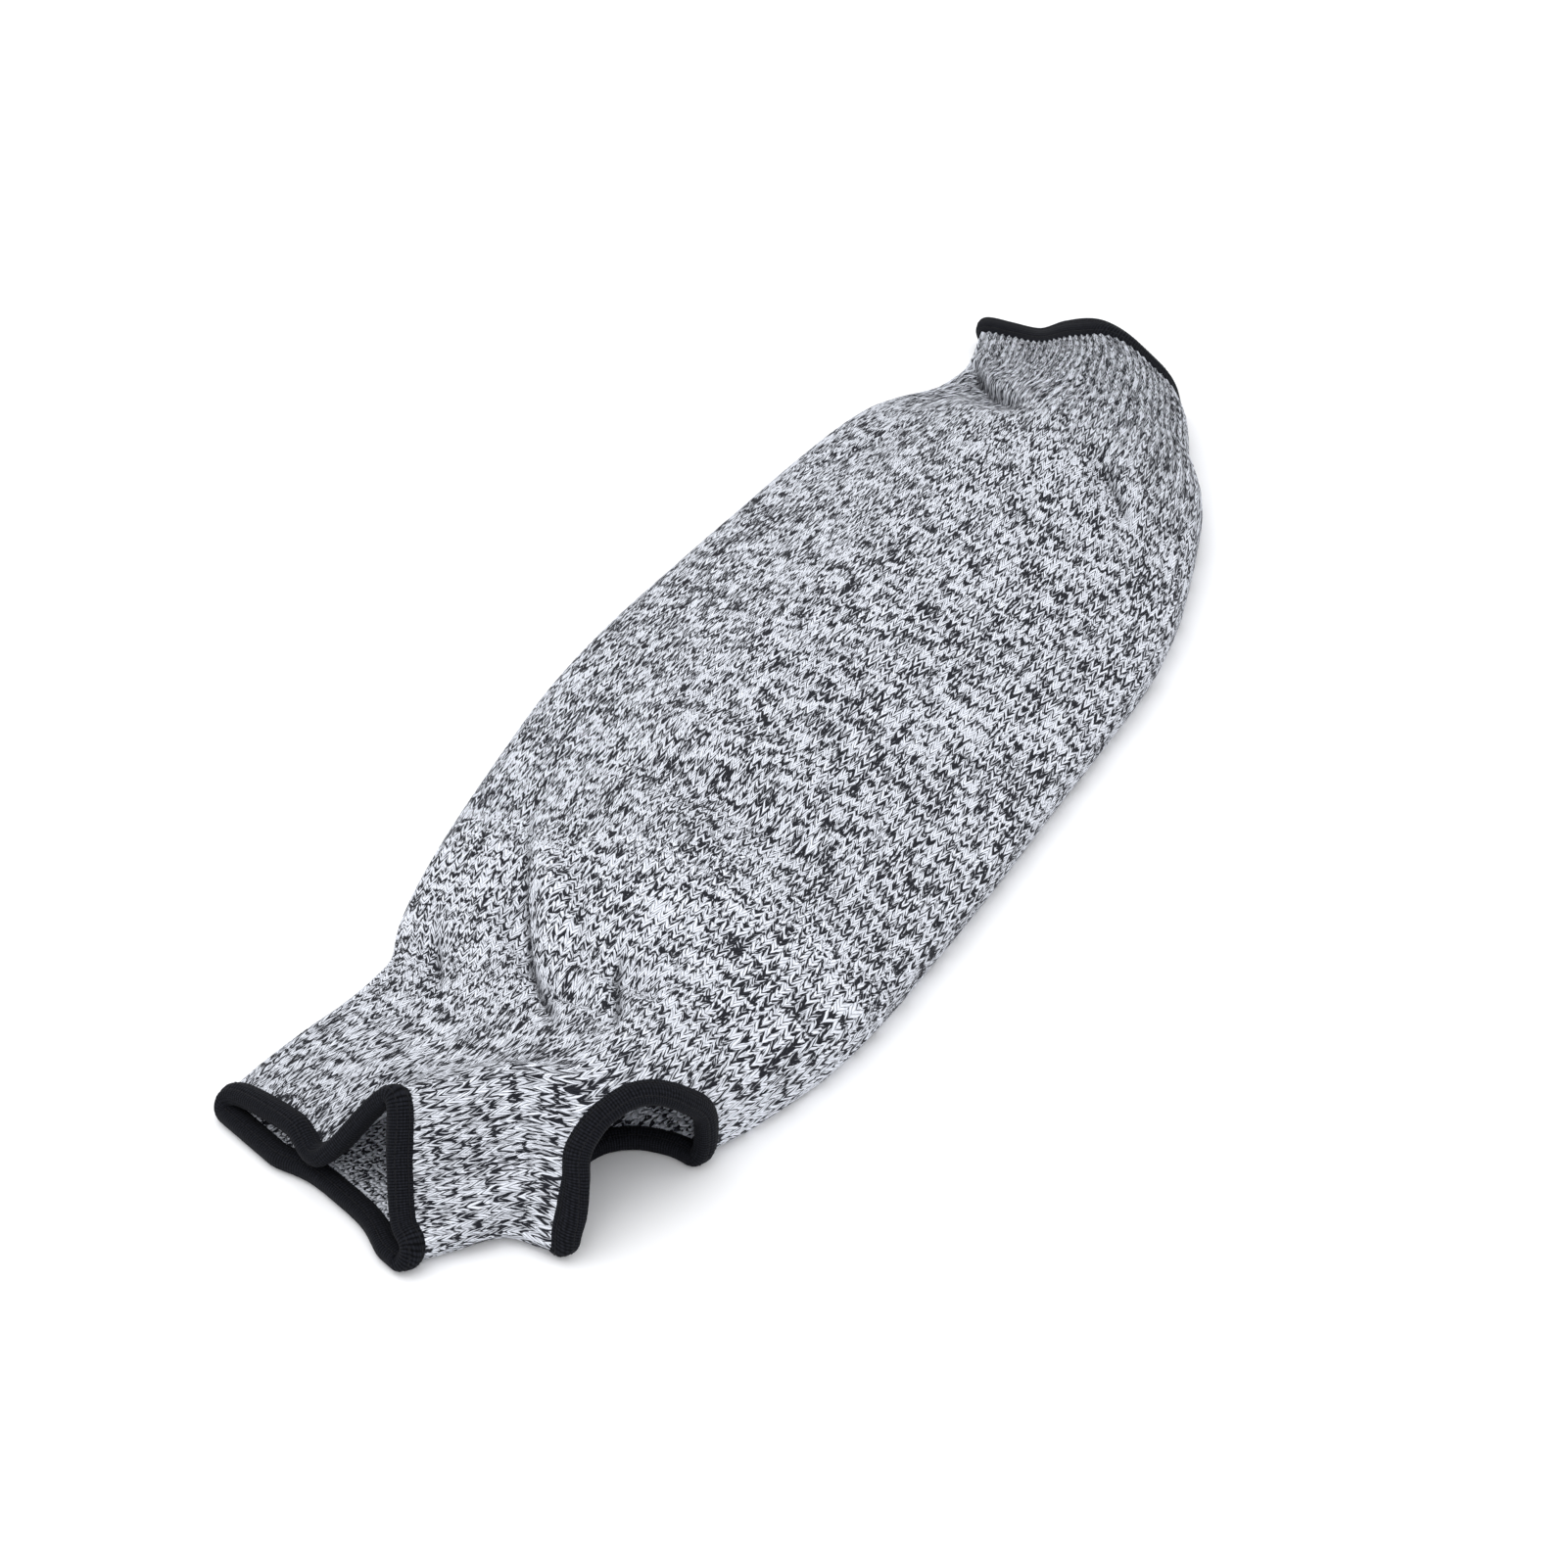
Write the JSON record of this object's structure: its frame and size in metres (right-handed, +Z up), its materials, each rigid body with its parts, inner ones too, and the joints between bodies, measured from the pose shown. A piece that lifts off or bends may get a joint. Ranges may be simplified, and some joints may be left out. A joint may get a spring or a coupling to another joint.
{
  "type": "cut resistant sleeve",
  "caption": "Seamless heather-grey knitted arm sleeve lying flat, with a thumb hole near the hand mouth and black sewn bands round both mouths and the thumb hole",
  "frame": {"origin": "on the surface the sleeve lies on, under the middle of its length and width", "axes": "+X from the hand mouth to the upper-arm mouth, +Y towards the edge away from the thumb hole, +Z up"},
  "size_m": [0.4623, 0.1586, 0.0384],
  "materials": {
    "knit": "coarse heathered grey jersey knit, matte",
    "binding": "black woven elastic band, matte"
  },
  "bodies": {
    "root": {"knit_tube": "knit", "hand_binding": "binding", "thumb_binding": "binding", "upper_binding": "binding"}
  },
  "joints": []
}
